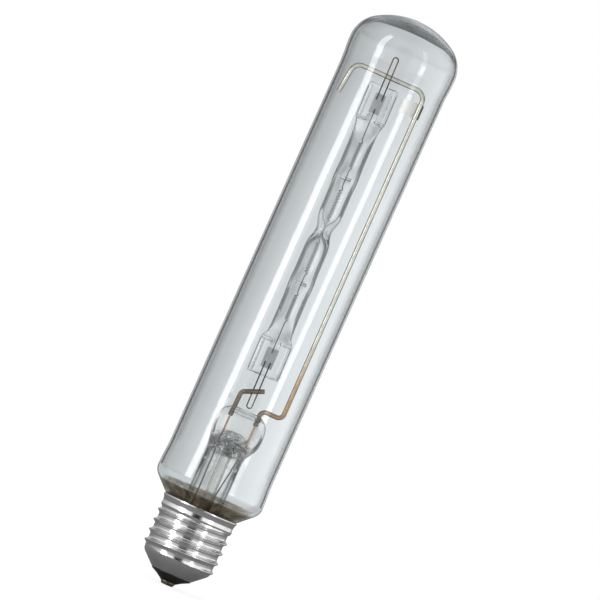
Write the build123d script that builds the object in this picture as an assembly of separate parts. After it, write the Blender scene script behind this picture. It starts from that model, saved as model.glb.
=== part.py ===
from build123d import *
from math import acos, cos, degrees, pi, radians, sin, sqrt, tan
import os

os.makedirs("parts", exist_ok=True)

# Screw cap: formed sheet with a rounded bottom, a thread, a skirt and a rolled rim
cap_wall = 0.35
thread_pitch = 3.629
thread_root_r = 12.0
thread_depth = 1.07
thread_base = 2.2
thread_land = 0.9
thread_start_z = 8.7
thread_turns = 4.5
thread_runout = 0.3
thread_sink = 1.0
cap_hole_r = 7.05
cap_hole_z = 3.9
cap_side_z = 10.55
cap_bend = 5.0
skirt_z = 23.3
skirt_swell = 0.9
skirt_waist = 0.65
rim_flare = 1.2
rim_z = 27.4
rim_top = 28.0
bore_flare = 3.0

# Insulator cone, contact disc and solder tip
disc_r = 2.75
disc_z = 0.9
disc_thick = 0.35
hub_r = 1.3
hub_high = 1.4
wire_hole_r = 0.5
tip_r = 2.0
insulator_step = 0.3
insulator_top = 6.0

# Clear outer bulb: blown to one wall all over, drawn in to a neck that fits the cap
glass_wall = 1.0
cement_gap = 0.25
cement_step = 1.5
cement_drop = 0.4
neck_bottom = 17.0
throat_drop = 1.3
neck_cone = 46.6
body_r = 18.55
swell_len = 10.0
shoulder_swell = 0.39
shoulder_bend = 4.8
crown_swell = 0.45
corner_bend = 11.0
crown_bend = 26.0
bulb_top = 205.1
neck_r = thread_root_r - cap_wall - cement_gap

# Stem: flared tube, squeezed flat at its top into the press that grips the wires
stem_r = 6.5
stem_wall = 1.1
flare_rim = 1.4
flare_high = 8.0
press_width = 17.4
press_thick = 5.4
press_high = 12.2
press_shift = 0.85
press_round = 0.9
lobe_round = 1.8
squeeze_top = 9.7
squeeze_root = 16.2
cavity_drop = 8.2
cavity_edge = 0.5
cavity_thick = 1.4
join_lap = 1.0

# Exhaust tube, drawn to a closed point inside the cap
exhaust_r = 1.75
exhaust_wall = 0.6
exhaust_x = 0.7
exhaust_tip_z = 13.0
exhaust_taper = 4.0
exhaust_sunk = 1.5

# Quartz burner: round tube with flat pinches, hung under the dome and leaning a little
dome_clear = 14.1
burner_x = -0.45
burner_lean = -1.2
burner_len = 103.9
burner_r = 4.05
burner_wall = 1.0
pinch_len = 12.4
pinch_flare = 6.0
pinch_thick = 2.6
upper_pinch_width = 10.3
lower_pinch_width = 11.1
fishtail_len = 4.4
fishtail_thick = 0.7
fishtail_share = 0.7
blade_round = 0.6
waist_width = 5.8
dimple_width = 5.2
jaw_bend = 4.2
squeezed_bore = 0.9
dimple_offset = 19.0

# Foils, hairpins and filament, in the burner's own frame
foil_thick = 0.08
upper_foil_width = 3.65
lower_foil_width = 4.0
foil_len = 7.0
foil_inset = 2.6
lead_r = 0.225
lead_pitch = 1.8
lead_lap = 2.2
upper_loop_reach = 10.5
lower_loop_reach = 11.9
loop_clear = 1.0
coil_r = 0.43
filament_thick = 0.3
filament_lap = 1.5
coil_turns = 13
coil_sides = 5
coil_gap = 4.0
coil_end_gap = 1.5

# Thick support wires, the getter strip and the thin wires that run on below
support_r = 0.8
support_sides = 12
weld_gap = 0.02
butt_gap = 0.06
support_sunk = 3.7
side_clear = 4.95
wire_lean = 0.7
long_foot_x = 5.25
long_jog_rise = 2.0
long_jog_bend = 1.9
cross_rise = 3.6
long_bend = 3.3
hook_clear = 3.85
hook_splay = 1.3
hook_drop = 11.1
short_foot_x = -3.7
short_knee_x = -3.5
short_knee_rise = 5.2
short_end_x = 3.6
short_end_rise = 8.2
short_bend = 1.6
getter_width = 7.2
getter_high = 5.0
getter_thick = 0.2
getter_bow = 14.0
getter_drop = 6.6
getter_lap = 1.3
seal_r = 0.315
left_seal_drop = 9.7
right_seal_drop = 13.7
feed_r = 0.3
left_feed_x = -3.3
right_feed_x = 2.8
feed_share = 0.43
feed_turn_z = 22.0
feed_centre_z = 9.0
shell_weld_z = 12.5

# Heights: the inner pieces hang in a row under the dome, and the stem reaches up to them
half_len = burner_len / 2
burner_mid_z = bulb_top - dome_clear - upper_loop_reach - half_len
press_top = burner_mid_z - half_len - lower_loop_reach - loop_clear
long_top_z = burner_mid_z + half_len + cross_rise
support_foot_z = press_top - support_sunk
inside_r = body_r - glass_wall
long_y = support_r + lead_r + weld_gap
short_y = -long_y


def turned(outline):
    """Solid of revolution about Z from a closed half section in the X-Z plane"""
    return revolve(make_face(Plane.XZ * outline), Axis.Z)


def upright(radius, low, high):
    """Round bar about Z between two heights"""
    return Pos(0, 0, low) * Cylinder(radius, high - low, align=(Align.CENTER, Align.CENTER, Align.MIN))


def wire(path, radius, sides=8):
    """Wire along a path, with a many-sided section and mitred corners"""
    face = Plane(path @ 0, z_dir=path % 0) * RegularPolygon(radius, sides)
    return sweep(face, path=path, transition=Transition.RIGHT)


def mix(a, b, share):
    """Value that lies a share of the way from a to b"""
    return a + (b - a) * share


# Outer bulb: the skin and the hollow come from one outline at two insets
cone = radians(neck_cone)
throat_z = rim_top - throat_drop
shoulder_x = body_r + shoulder_swell - shoulder_bend
cone_len = (shoulder_x + shoulder_bend * cos(cone) - neck_r) / sin(cone)
shoulder_z = throat_z + cone_len * cos(cone) + shoulder_bend * sin(cone)
corner_x = body_r + crown_swell - corner_bend
crown_z = bulb_top - crown_bend
corner_z = crown_z + sqrt((crown_bend - corner_bend) ** 2 - corner_x ** 2)
crown_angle = degrees(acos(corner_x / (crown_bend - corner_bend)))


def bulb_solid(inset, bottom):
    """Solid bounded by the bulb's skin, or by a skin set in by the glass wall"""
    throat = (neck_r - inset, throat_z + inset * tan(cone / 2))
    shoulder = CenterArc((shoulder_x, shoulder_z), shoulder_bend - inset, -neck_cone, neck_cone)
    body_low = (body_r - inset, shoulder_z + swell_len)
    body_high = (body_r - inset, corner_z - swell_len)
    corner = CenterArc((corner_x, corner_z), corner_bend - inset, 0, crown_angle)
    crown = CenterArc((0, crown_z), crown_bend - inset, crown_angle, 90 - crown_angle)
    outline = Polyline((neck_r - inset, bottom), throat, shoulder @ 0) + shoulder
    outline += Polyline(shoulder @ 1, body_low, body_high, corner @ 0) + corner + crown
    outline += Polyline(crown @ 1, (0, bottom), (neck_r - inset, bottom))
    return turned(outline)


outer_bulb = bulb_solid(0, neck_bottom) - bulb_solid(glass_wall, neck_bottom - glass_wall)


# Cap shell: cone with a rounded corner, thread root, swollen skirt and rim, with a plain bore
swell_z = skirt_z + skirt_swell
waist_z = mix(swell_z, rim_z, 0.5)
rim_r = thread_root_r + rim_flare
bore_in = thread_root_r - cap_wall
flare_z = rim_top - bore_flare
cap_corner_z = cap_side_z - 0.45 * cap_bend
cap_bottom = FilletPolyline(
    (cap_hole_r, cap_hole_z), (thread_root_r, cap_corner_z), (thread_root_r, skirt_z), radius=cap_bend
)
cap_outside = turned(
    cap_bottom
    + Polyline(
        cap_bottom @ 1,
        (thread_root_r + skirt_swell, swell_z),
        (thread_root_r + skirt_waist, waist_z),
        (rim_r, rim_z),
        (rim_r, rim_top),
        (0, rim_top),
        (0, cap_hole_z),
        (cap_hole_r, cap_hole_z),
    )
)
cap_inside = turned(
    Polyline(
        (0, cap_hole_z),
        (cap_hole_r, cap_hole_z),
        (cap_hole_r, cap_hole_z + cap_wall),
        (mix(cap_hole_r, bore_in, 0.6), mix(cap_hole_z, cap_corner_z, 0.6) + 1.8 * cap_wall),
        (bore_in, cap_side_z + cap_wall),
        (bore_in, flare_z),
        (rim_r - cap_wall, rim_top),
        (rim_r - cap_wall, rim_top + cap_wall),
        (0, rim_top + cap_wall),
        (0, cap_hole_z),
    )
)

# Thread: a ridge wound round the root, fading into the rounded bottom and into the skirt
mid_r = thread_root_r + thread_depth / 2
helix = Helix(thread_pitch, thread_turns * thread_pitch, mid_r, center=(0, 0, thread_start_z))
flank = (thread_base - thread_land) / (2 * thread_depth)
sunk_width = thread_base + 2 * thread_sink * flank
ridge_face = make_face(
    Polyline(
        (-thread_depth / 2 - thread_sink, -sunk_width / 2),
        (thread_depth / 2, -thread_land / 2),
        (thread_depth / 2, thread_land / 2),
        (-thread_depth / 2 - thread_sink, sunk_width / 2),
        (-thread_depth / 2 - thread_sink, -sunk_width / 2),
    )
)
ridge_plane = Plane(helix @ 0, x_dir=(1, 0, 0), z_dir=helix % 0)
ridge = Rot(Z=-90) * sweep(ridge_plane * ridge_face, path=helix, is_frenet=True)
limit_r = thread_root_r + 1.2 * thread_depth
ridge_low = thread_start_z + thread_runout
ridge_limit = turned(
    Polyline(
        (0, ridge_low),
        (thread_root_r - cap_wall, ridge_low),
        (limit_r, ridge_low + thread_pitch),
        (limit_r, skirt_z),
        (thread_root_r + skirt_waist, skirt_z + thread_pitch / 2),
        (0, skirt_z + thread_pitch / 2),
        (0, ridge_low),
    )
)
rod_low = thread_start_z - thread_pitch
rod = upright(thread_root_r, rod_low, rod_low + (thread_turns + 2) * thread_pitch)
threaded = (rod + ridge) & ridge_limit
cap_shell = cap_outside + threaded - cap_inside

# Contact disc with a hub, solder on it, and the insulator moulded round the hub and the cap's edge
disc_top = disc_z + disc_thick
centre_contact = upright(disc_r, disc_z, disc_top)
centre_contact += upright(hub_r, disc_top, disc_top + hub_high)
centre_contact -= Cylinder(wire_hole_r, insulator_top)
cap_insulator = turned(
    Polyline(
        (0, disc_top),
        (disc_r, disc_top),
        (cap_hole_r, cap_hole_z - insulator_step),
        (cap_hole_r, insulator_top),
        (0, insulator_top),
        (0, disc_top),
    )
)
cap_insulator -= Cylinder(wire_hole_r, 3 * insulator_top)
cap_insulator -= centre_contact

# Cement: ring between the glass and the cap, from inside the neck to just under the rim
cement_low = neck_bottom + cement_step
cement_top = rim_top - cement_drop
cement_side = mix(bore_in, rim_r - cap_wall, 1 - cement_drop / bore_flare)
basing_cement = turned(
    Polyline(
        (neck_r, cement_low),
        (bore_in, cement_low),
        (bore_in, flare_z),
        (cement_side, cement_top),
        (neck_r + (cement_top - throat_z) * tan(cone), cement_top),
        (neck_r, throat_z),
        (neck_r, cement_low),
    )
)

# Support wires: thick, bent in one plane each, behind and in front of the hairpins
long_jog_z = press_top + long_jog_rise
long_side_x = inside_r - side_clear
long_top_x = long_side_x - wire_lean
hook_x = hook_clear - inside_r
long_support_wire = wire(
    FilletPolyline(
        (long_foot_x, long_y, support_foot_z + butt_gap),
        (long_foot_x, long_y, long_jog_z),
        (long_side_x, long_y, long_jog_z),
        (long_top_x, long_y, long_top_z),
        (hook_x, long_y, long_top_z),
        (hook_x - hook_splay, long_y, long_top_z - hook_drop),
        radius=[long_jog_bend, long_jog_bend, long_bend, long_bend],
    ),
    support_r,
    support_sides,
)
short_support_wire = wire(
    FilletPolyline(
        (short_foot_x, short_y, support_foot_z + butt_gap),
        (short_knee_x, short_y, press_top + short_knee_rise),
        (short_end_x, short_y, press_top + short_end_rise),
        radius=short_bend,
    ),
    support_r,
    support_sides,
)

# Getter: thin bowed strip welded to the back of the long wire
getter_z = long_top_z - getter_drop
wire_share = (getter_z - long_jog_z) / (long_top_z - long_jog_z)
weld_x = mix(long_side_x, long_top_x, wire_share)
getter_y = long_y + support_r + weld_gap
getter_x = weld_x + getter_lap - getter_width / 2
bow_ring = Cylinder(getter_bow + getter_thick, getter_high) - Cylinder(getter_bow, getter_high)
bow_window = Pos(0, -getter_bow) * Box(getter_width, 2 * getter_bow, getter_high)
getter_strip = Pos(getter_x, getter_y + getter_bow + getter_thick, getter_z) * (bow_ring & bow_window)

# Seal wires inside the press, and feed wires from there to the tip and to the cap's side
left_seal_end_z = press_top - left_seal_drop
right_seal_end_z = press_top - right_seal_drop
feed_straight_z = mix(feed_turn_z, right_seal_end_z, feed_share)
left_seal_wire = wire(
    Line((short_foot_x, short_y, support_foot_z), (short_foot_x, short_y, left_seal_end_z)), seal_r
)
right_seal_wire = wire(
    Line((long_foot_x, long_y, support_foot_z), (long_foot_x, long_y, right_seal_end_z)), seal_r
)
left_feed_wire = wire(
    Polyline(
        (short_foot_x, short_y, left_seal_end_z - butt_gap),
        (left_feed_x, short_y, feed_straight_z),
        (left_feed_x, short_y, feed_turn_z),
        (0, 0, feed_centre_z),
        (0, 0, disc_z),
    ),
    feed_r,
)
shell_weld_x = thread_root_r - cap_wall - 2 * feed_r
right_feed_wire = wire(
    Polyline(
        (long_foot_x, long_y, right_seal_end_z - butt_gap),
        (right_feed_x, long_y, feed_straight_z),
        (right_feed_x, long_y, feed_turn_z),
        (shell_weld_x, long_y, shell_weld_z),
    ),
    feed_r,
)
centre_solder = turned(
    Polyline((0, 0), (tip_r, 0), (mix(tip_r, disc_r, 0.75), disc_z), (0, disc_z), (0, 0))
)


# Squeezed tubes: a round bar trimmed front and back by a taper, as flat jaws leave it
def tapered(radius, thick, low, high, end):
    """Round bar whose thickness is squeezed down between two heights and stays so to its end"""
    wide = 1.1 * radius
    side = Polyline(
        (-wide, low),
        (wide, low),
        (thick / 2, high),
        (thick / 2, end),
        (-thick / 2, end),
        (-thick / 2, high),
        (-wide, low),
    )
    return upright(radius, low, end) & extrude(Plane.YZ * make_face(side), 2 * radius, both=True)


# Exhaust tube with its closed point
press_z = press_top - squeeze_top
exhaust_top = press_z + exhaust_sunk
exhaust_bore = exhaust_r - exhaust_wall
exhaust_tube = Pos(exhaust_x) * turned(
    Polyline(
        (0, exhaust_tip_z),
        (exhaust_wall, exhaust_tip_z),
        (exhaust_r, exhaust_tip_z + exhaust_taper),
        (exhaust_r, exhaust_top),
        (exhaust_bore, exhaust_top),
        (exhaust_bore, exhaust_tip_z + exhaust_taper),
        (0, exhaust_tip_z + exhaust_taper),
        (0, exhaust_tip_z),
    )
)
exhaust_core = Pos(exhaust_x) * upright(exhaust_r, exhaust_tip_z, exhaust_top)

# Stem: flare sealed in the neck, straight tube, then the press with the cavity under it
flare_r = neck_r - glass_wall
press_root_z = press_top - squeeze_root
press_low = press_top - press_high
cavity_top = press_top - cavity_drop


def flare_solid(inset, bottom):
    """Solid bounded by the flare's skin, or by a skin set in by the stem wall"""
    outline = Polyline(
        (0, bottom),
        (flare_r - inset, bottom),
        (flare_r - inset, neck_bottom + flare_rim),
        (stem_r - inset, neck_bottom + flare_high),
        (stem_r - inset, press_root_z),
        (0, press_root_z),
        (0, bottom),
    )
    return turned(outline)


press = extrude(Pos(press_shift, 0, press_low) * SlotOverall(press_width, press_thick), press_high)
press = chamfer(press.edges().group_by(Axis.Z)[-1], press_round)
press = chamfer(press.edges().group_by(Axis.Z)[0], lobe_round)
stem = flare_solid(0, neck_bottom) + press
stem += tapered(stem_r, press_thick, press_root_z, press_z, press_z + join_lap)
stem -= flare_solid(stem_wall, neck_bottom - stem_wall)
stem -= tapered(stem_r - stem_wall, cavity_thick, press_root_z, cavity_top - cavity_edge, cavity_top)
for held in [exhaust_core, long_support_wire, short_support_wire, left_seal_wire, right_seal_wire]:
    stem -= held
for held in [left_feed_wire, right_feed_wire]:
    stem -= held

# Burner glass, upright about its own middle: round tube, two pinches, a waist and two dimples
blade_z = half_len - pinch_len
round_z = blade_z - pinch_flare
bore_r = burner_r - burner_wall
tail_z = round_z + fishtail_len


def plate(thick, low, high, end, root_w, width):
    """Flat blade with slanted shoulders that widen it from the tube to its full width"""
    outline = Polyline(
        (-root_w / 2, low),
        (root_w / 2, low),
        (width / 2, high),
        (width / 2, end),
        (-width / 2, end),
        (-width / 2, high),
        (-root_w / 2, low),
    )
    return extrude(Plane.XZ * make_face(outline), thick / 2, both=True)


def pinched_end(width):
    """Squeezed tube and blade of the upper end"""
    blade = plate(pinch_thick, round_z + join_lap, blade_z, half_len, 1.7 * burner_r, width)
    blade = chamfer(blade.faces().filter_by(Axis.Y).edges(), blade_round)
    return tapered(burner_r, pinch_thick, round_z, blade_z, blade_z + join_lap) + blade


def pinched_bore(width):
    """Upper end of the bore, squeezed to a thin fishtail"""
    tail = plate(fishtail_thick, round_z, tail_z, tail_z + join_lap, 1.7 * bore_r, width)
    return tapered(bore_r, fishtail_thick, round_z, tail_z, tail_z + join_lap) + tail


def jaws(gap, bend, z, turn):
    """Pair of round jaws that squeeze the tube to a gap at one height"""
    jaw = Rot(X=90) * Cylinder(bend, 4 * burner_r)
    reach = gap / 2 + bend
    return Pos(0, 0, z) * Rot(Z=turn) * (Pos(reach) * jaw + Pos(-reach) * jaw)


lower_turn = Rot(X=180)
quartz = Cylinder(burner_r, 2 * round_z)
quartz += pinched_end(upper_pinch_width)
quartz += lower_turn * pinched_end(lower_pinch_width)
bore = Cylinder(bore_r, 2 * round_z)
bore += pinched_bore(fishtail_share * upper_pinch_width)
bore += lower_turn * pinched_bore(fishtail_share * lower_pinch_width)
squeezes = [(waist_width, 0, 0), (dimple_width, dimple_offset, 90), (dimple_width, -dimple_offset, 90)]
for outer_gap, z, turn in squeezes:
    quartz -= jaws(outer_gap, jaw_bend, z, turn)
    bore -= jaws(squeezed_bore, jaw_bend + (outer_gap - squeezed_bore) / 2, z, turn)

# Foils lie behind the hairpin legs and the filament legs, which lap on to them
foil_y = lead_r + foil_thick / 2
foil_out = half_len - foil_inset
foil_in = foil_out - foil_len
upper_foil = Pos(0, foil_y, (foil_out + foil_in) / 2) * Box(upper_foil_width, foil_thick, foil_len)
lower_foil = Pos(0, foil_y, -(foil_out + foil_in) / 2) * Box(lower_foil_width, foil_thick, foil_len)


def hairpin(end, start):
    """Loop of thin wire with two legs, from one height out to its rounded end"""
    side = lead_pitch / 2
    turn_z = end - side if end > start else end + side
    legs_up = Line((-side, 0, start), (-side, 0, turn_z))
    bow = ThreePointArc((-side, 0, turn_z), (0, 0, end), (side, 0, turn_z))
    legs_down = Line((side, 0, turn_z), (side, 0, start))
    return wire(Wire([legs_up, bow, legs_down]), lead_r)


lead_start = foil_out - lead_lap
upper_lead_loop = hairpin(half_len + upper_loop_reach, lead_start)
lower_lead_loop = hairpin(-half_len - lower_loop_reach, -lead_start)

# Filament: one wire, wound into four coils with straight links and legs
leg_hole_r = filament_thick / sqrt(2)
filament_y = lead_r - leg_hole_r
leg_end = foil_in + filament_lap
upper_coil = (round_z - coil_end_gap, dimple_offset + coil_gap)
inner_coil = (dimple_offset - coil_gap, coil_gap)
coil_spans = [upper_coil, inner_coil]
coil_spans += [(-inner_coil[1], -inner_coil[0]), (-upper_coil[1], -upper_coil[0])]
filament_points = [(0, filament_y, leg_end)]
for coil_top, coil_bottom in coil_spans:
    steps = coil_turns * coil_sides
    filament_points.append((0, filament_y, coil_top + filament_thick))
    for step in range(steps + 1):
        turn = 2 * pi * step / coil_sides
        height = mix(coil_top, coil_bottom, step / steps)
        filament_points.append((coil_r * cos(turn), filament_y + coil_r * sin(turn), height))
    filament_points.append((0, filament_y, coil_bottom - filament_thick))
filament_points.append((0, filament_y, -leg_end))
filament_path = Polyline(*filament_points)
filament_plane = Plane(filament_points[0], x_dir=(1, 0, 0), z_dir=(0, 0, -1))
filament_face = filament_plane * Rectangle(filament_thick, filament_thick)
filament = sweep(filament_face, path=filament_path, transition=Transition.RIGHT)

leg_hole = Pos(0, filament_y) * Cylinder(leg_hole_r, 2 * leg_end)
burner_tube = quartz - bore - leg_hole
for sealed in [upper_foil, lower_foil, upper_lead_loop, lower_lead_loop]:
    burner_tube -= sealed

# Burner pieces take their place together in the bulb
burner_place = Pos(burner_x, 0, burner_mid_z) * Rot(Y=burner_lean)

nodes = {
    "outer_bulb": outer_bulb,
    "stem": stem,
    "exhaust_tube": exhaust_tube,
    "burner_tube": burner_place * burner_tube,
    "upper_foil": burner_place * upper_foil,
    "lower_foil": burner_place * lower_foil,
    "upper_lead_loop": burner_place * upper_lead_loop,
    "lower_lead_loop": burner_place * lower_lead_loop,
    "filament": burner_place * filament,
    "long_support_wire": long_support_wire,
    "short_support_wire": short_support_wire,
    "getter_strip": getter_strip,
    "left_seal_wire": left_seal_wire,
    "right_seal_wire": right_seal_wire,
    "left_feed_wire": left_feed_wire,
    "right_feed_wire": right_feed_wire,
    "basing_cement": basing_cement,
    "cap_shell": cap_shell,
    "cap_insulator": cap_insulator,
    "centre_contact": centre_contact,
    "centre_solder": centre_solder,
}
for name, piece in nodes.items():
    export_step(piece, f"parts/{name}.step")
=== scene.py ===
# %% [markdown]
# # A clear tubular lamp
# The lamp is a long glass tube with a domed end, a quartz burner on bent wires inside it, and a screw cap.
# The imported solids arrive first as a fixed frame. Each one either keeps its mesh and gets a finish here,
# or is replaced by a finer piece of the same form.

# %% Load the frame
from math import acos, atan2, cos, degrees, exp, pi, radians, sin, sqrt, tan

import bmesh
import bpy
from mathutils import Matrix, Vector


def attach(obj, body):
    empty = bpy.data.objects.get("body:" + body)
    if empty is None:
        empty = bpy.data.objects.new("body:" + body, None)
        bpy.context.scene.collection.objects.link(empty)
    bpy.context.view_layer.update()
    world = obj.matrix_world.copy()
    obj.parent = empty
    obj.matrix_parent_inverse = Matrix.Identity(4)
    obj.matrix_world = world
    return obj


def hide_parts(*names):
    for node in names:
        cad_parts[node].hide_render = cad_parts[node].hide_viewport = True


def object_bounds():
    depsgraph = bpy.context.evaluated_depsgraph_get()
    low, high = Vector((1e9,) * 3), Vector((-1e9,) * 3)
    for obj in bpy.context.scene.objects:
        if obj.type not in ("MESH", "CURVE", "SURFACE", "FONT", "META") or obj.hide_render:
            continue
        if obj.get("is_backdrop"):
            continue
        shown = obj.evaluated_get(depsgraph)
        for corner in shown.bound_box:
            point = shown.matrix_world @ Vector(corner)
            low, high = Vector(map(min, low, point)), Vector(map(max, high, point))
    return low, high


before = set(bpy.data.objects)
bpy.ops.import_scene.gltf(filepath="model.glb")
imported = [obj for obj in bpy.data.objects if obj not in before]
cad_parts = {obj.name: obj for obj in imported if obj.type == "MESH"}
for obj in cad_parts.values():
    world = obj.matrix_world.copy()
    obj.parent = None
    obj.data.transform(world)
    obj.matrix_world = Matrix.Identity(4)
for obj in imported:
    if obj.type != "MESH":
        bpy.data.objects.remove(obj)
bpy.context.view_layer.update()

# %% [markdown]
# ## Working in millimetres
# A lamp is easier to think about in millimetres, so every bmesh below is drawn in them. One helper shrinks
# the finished mesh to metres, shades it smooth except at real corners, and hands it to the frame, which is
# why each object can stay at the origin with its place in its mesh.

# %% Finish a mesh as a piece
MM = 0.001


def new_object(name, bm):
    mesh = bpy.data.meshes.new(name)
    bm.to_mesh(mesh)
    bm.free()
    made = bpy.data.objects.new(name, mesh)
    bpy.context.scene.collection.objects.link(made)
    return made


def add_piece(name, bm, node, sharp=35):
    bmesh.ops.transform(bm, matrix=Matrix.Scale(MM, 4), verts=bm.verts)
    piece = new_object(name, bm)
    piece.data.shade_smooth()
    piece.data.set_sharp_from_angle(angle=radians(sharp))
    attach(piece, "root")
    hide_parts(node)
    print(name, "has", len(piece.data.polygons), "faces")
    return piece


print("one unit of a drawing is", MM, "m")

# %% [markdown]
# ## Feed and bend
# A wire bender feeds a length, bends it, and feeds again. The same moves draw the profile of a turned piece,
# which is a line with rounded corners. This helper works them out from corner points and bend radii.

# %% Feeds and bends from corner points
STRAIGHT = 1e-4


def feeds_and_bends(corners, radii):
    points = [Vector(p) for p in corners]
    start = points[0]
    for before, here, after, radius in zip(points, points[1:], points[2:], radii):
        way_in = (here - before).normalized()
        way_out = (after - here).normalized()
        turn = way_in.angle(way_out)
        if radius == 0 or turn < STRAIGHT:
            yield "feed", here - start
            start = here
            continue
        reach = radius * tan(turn / 2)
        axis = way_in.cross(way_out).normalized()
        bend_start = here - way_in * reach
        yield "feed", bend_start - start
        yield "bend", (bend_start + axis.cross(way_in) * radius, axis, turn)
        start = here + way_out * reach
    yield "feed", points[-1] - start


square_corner = [(0, 0, 0), (5, 0, 0), (5, 0, 5)]
print("feeds and bends in a square corner:", len(list(feeds_and_bends(square_corner, [1]))))

# %% [markdown]
# ## Drawing a profile
# A turned piece starts as one vertex. Extruding it draws a straight line and spinning it draws an arc, so a
# half section needs only these two operators. One spin round Z makes the solid, and the seam is merged.

# %% Profile and lathe helpers
BEND_STEP = radians(6)
MERGE = 0.001


def draw_line(bm, last, step):
    made = bmesh.ops.extrude_vert_indiv(bm, verts=[last])["verts"]
    bmesh.ops.translate(bm, verts=made, vec=step)
    return made[0]


def draw_arc(bm, last, centre, axis, turn, steps=None):
    steps = steps or max(2, round(turn / BEND_STEP))
    made = bmesh.ops.spin(bm, geom=[last], cent=centre, axis=axis, angle=turn, steps=steps)
    return next(part for part in made["geom_last"] if isinstance(part, bmesh.types.BMVert))


def draw_path(bm, corners, radii):
    last = bm.verts.new(corners[0])
    first = last
    for kind, move in feeds_and_bends(corners, radii):
        last = draw_line(bm, last, move) if kind == "feed" else draw_arc(bm, last, *move)
    return first, last


def draw_section(bm, points, radii):
    return draw_path(bm, [(x, 0, z) for x, z in points], radii)


def lathe(bm, around):
    line = bm.verts[:] + bm.edges[:]
    bmesh.ops.spin(bm, geom=line, axis=(0, 0, 1), angle=2 * pi, steps=around, use_merge=True)
    bmesh.ops.remove_doubles(bm, verts=bm.verts, dist=MERGE)
    bmesh.ops.recalc_face_normals(bm, faces=bm.faces)


print("one bend step is", round(degrees(BEND_STEP)), "degrees")

# %% [markdown]
# ## The outer bulb
# The real bulb is blown from a tube of glass, with a neck drawn in to fit the cap and a slight swell where it
# was worked. The line goes up from the neck: cone, shoulder, straight body between two swells, dome.

# %% Draw one skin of the bulb
NECK_R, NECK_LOW, THROAT_Z, THROAT_BEND = 11.4, 17.0, 26.7, 1.6
BODY_R, SHOULDER_SWELL, DOME_SWELL, SWELL_LEN = 18.55, 0.39, 0.43, 10.0
NECK_CONE, SHOULDER_BEND = radians(46.6), 4.8
SIDE_ON = Vector((0, -1, 0))


def draw_ogee(bm, last, inward, rise):
    lean = atan2(abs(inward), rise) * 2
    radius = rise / 2 / sin(lean)
    way = 1 if inward > 0 else -1
    centre = last.co - Vector((way * radius, 0, 0))
    middle = draw_arc(bm, last, centre, SIDE_ON * way, lean, steps=8)
    centre = middle.co + (middle.co - centre)
    return draw_arc(bm, middle, centre, SIDE_ON * -way, lean, steps=8)


def draw_bulb_skin(bm, inset, top, dome, corner):
    shoulder_x = BODY_R + SHOULDER_SWELL - SHOULDER_BEND
    cone_len = (shoulder_x + SHOULDER_BEND * cos(NECK_CONE) - NECK_R) / sin(NECK_CONE)
    shoulder_z = THROAT_Z + cone_len * cos(NECK_CONE) + SHOULDER_BEND * sin(NECK_CONE)
    corner_x = BODY_R + DOME_SWELL - inset - corner
    corner_z = top - dome + sqrt((dome - corner) ** 2 - corner_x ** 2)
    corner_turn = acos(corner_x / (dome - corner))
    neck = (NECK_R - inset, 0, NECK_LOW)
    throat = (NECK_R - inset, 0, THROAT_Z + inset * tan(NECK_CONE / 2))
    cone_end = Vector((cos(NECK_CONE), 0, -sin(NECK_CONE))) * (SHOULDER_BEND - inset)
    shoulder = Vector((shoulder_x, 0, shoulder_z))
    first, last = draw_path(bm, [neck, throat, shoulder + cone_end], [THROAT_BEND])
    last = draw_arc(bm, last, shoulder, SIDE_ON, NECK_CONE, steps=14)
    last = draw_ogee(bm, last, SHOULDER_SWELL, SWELL_LEN)
    last = draw_line(bm, last, (0, 0, corner_z - shoulder_z - 2 * SWELL_LEN))
    last = draw_ogee(bm, last, -DOME_SWELL, SWELL_LEN)
    last = draw_arc(bm, last, (corner_x, 0, corner_z), SIDE_ON, corner_turn, steps=22)
    draw_arc(bm, last, (0, 0, top - dome), SIDE_ON, pi / 2 - corner_turn, steps=18)
    return first


print("bulb body is", 2 * BODY_R, "mm across")

# %% [markdown]
# ## Two skins make a wall
# The bright and dark lines along a glass edge come from light inside the wall, so the bulb needs its real
# inner skin. The inner dome is flatter, so the glass thins towards its corner. One edge joins both lines at
# the neck, and a single spin makes the wall.

# %% Spin both skins into the bulb
BULB_TOP, GLASS_WALL, DOME_WALL = 205.09, 1.0, 0.9
OUTER_DOME = {"top": BULB_TOP, "dome": 26.0, "corner": 11.0}
INNER_DOME = {"top": BULB_TOP - DOME_WALL, "dome": 25.5, "corner": 10.2}
bm = bmesh.new()
outside = draw_bulb_skin(bm, 0, **OUTER_DOME)
inside = draw_bulb_skin(bm, GLASS_WALL, **INNER_DOME)
bm.edges.new((outside, inside))
lathe(bm, around=160)
bulb = add_piece("bulb_glass", bm, "outer_bulb")

# %% [markdown]
# ## The screw cap
# The real cap is a drawn cup of thin sheet. This is the plain cup: cone, straight wall and rolled rim, out
# and back at the sheet's thickness. The outer wall gets fine rings, which the thread needs.

# %% Turn the plain cup
CAP_ROOT = 12.0
WALL_RINGS, OTHER_RINGS, LONG_EDGE = 0.08, 0.3, 1.0
cup = [(7.05, 4.3), (7.05, 3.9), (12.0, 8.3), (12.0, 23.3), (12.85, 24.3), (12.62, 25.9), (13.0, 27.2)]
cup += [(13.2, 27.4), (13.2, 28.0), (12.85, 28.0), (11.65, 25.0), (11.65, 10.9), (7.05, 4.3)]
bm = bmesh.new()
draw_section(bm, cup, [0.12, 2.8, 0.9, 0.8, 1.6, 0.1, 0.1, 0.2, 0.15, 1.0, 4.0])
for edge in [e for e in bm.edges if e.calc_length() > LONG_EDGE]:
    outer_wall = min(v.co.x for v in edge.verts) > CAP_ROOT - 0.1
    cuts = round(edge.calc_length() / (WALL_RINGS if outer_wall else OTHER_RINGS))
    bmesh.ops.subdivide_edges(bm, edges=[edge], cuts=cuts)
lathe(bm, around=220)
print("plain cup:", len(bm.verts), "vertices")

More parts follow.
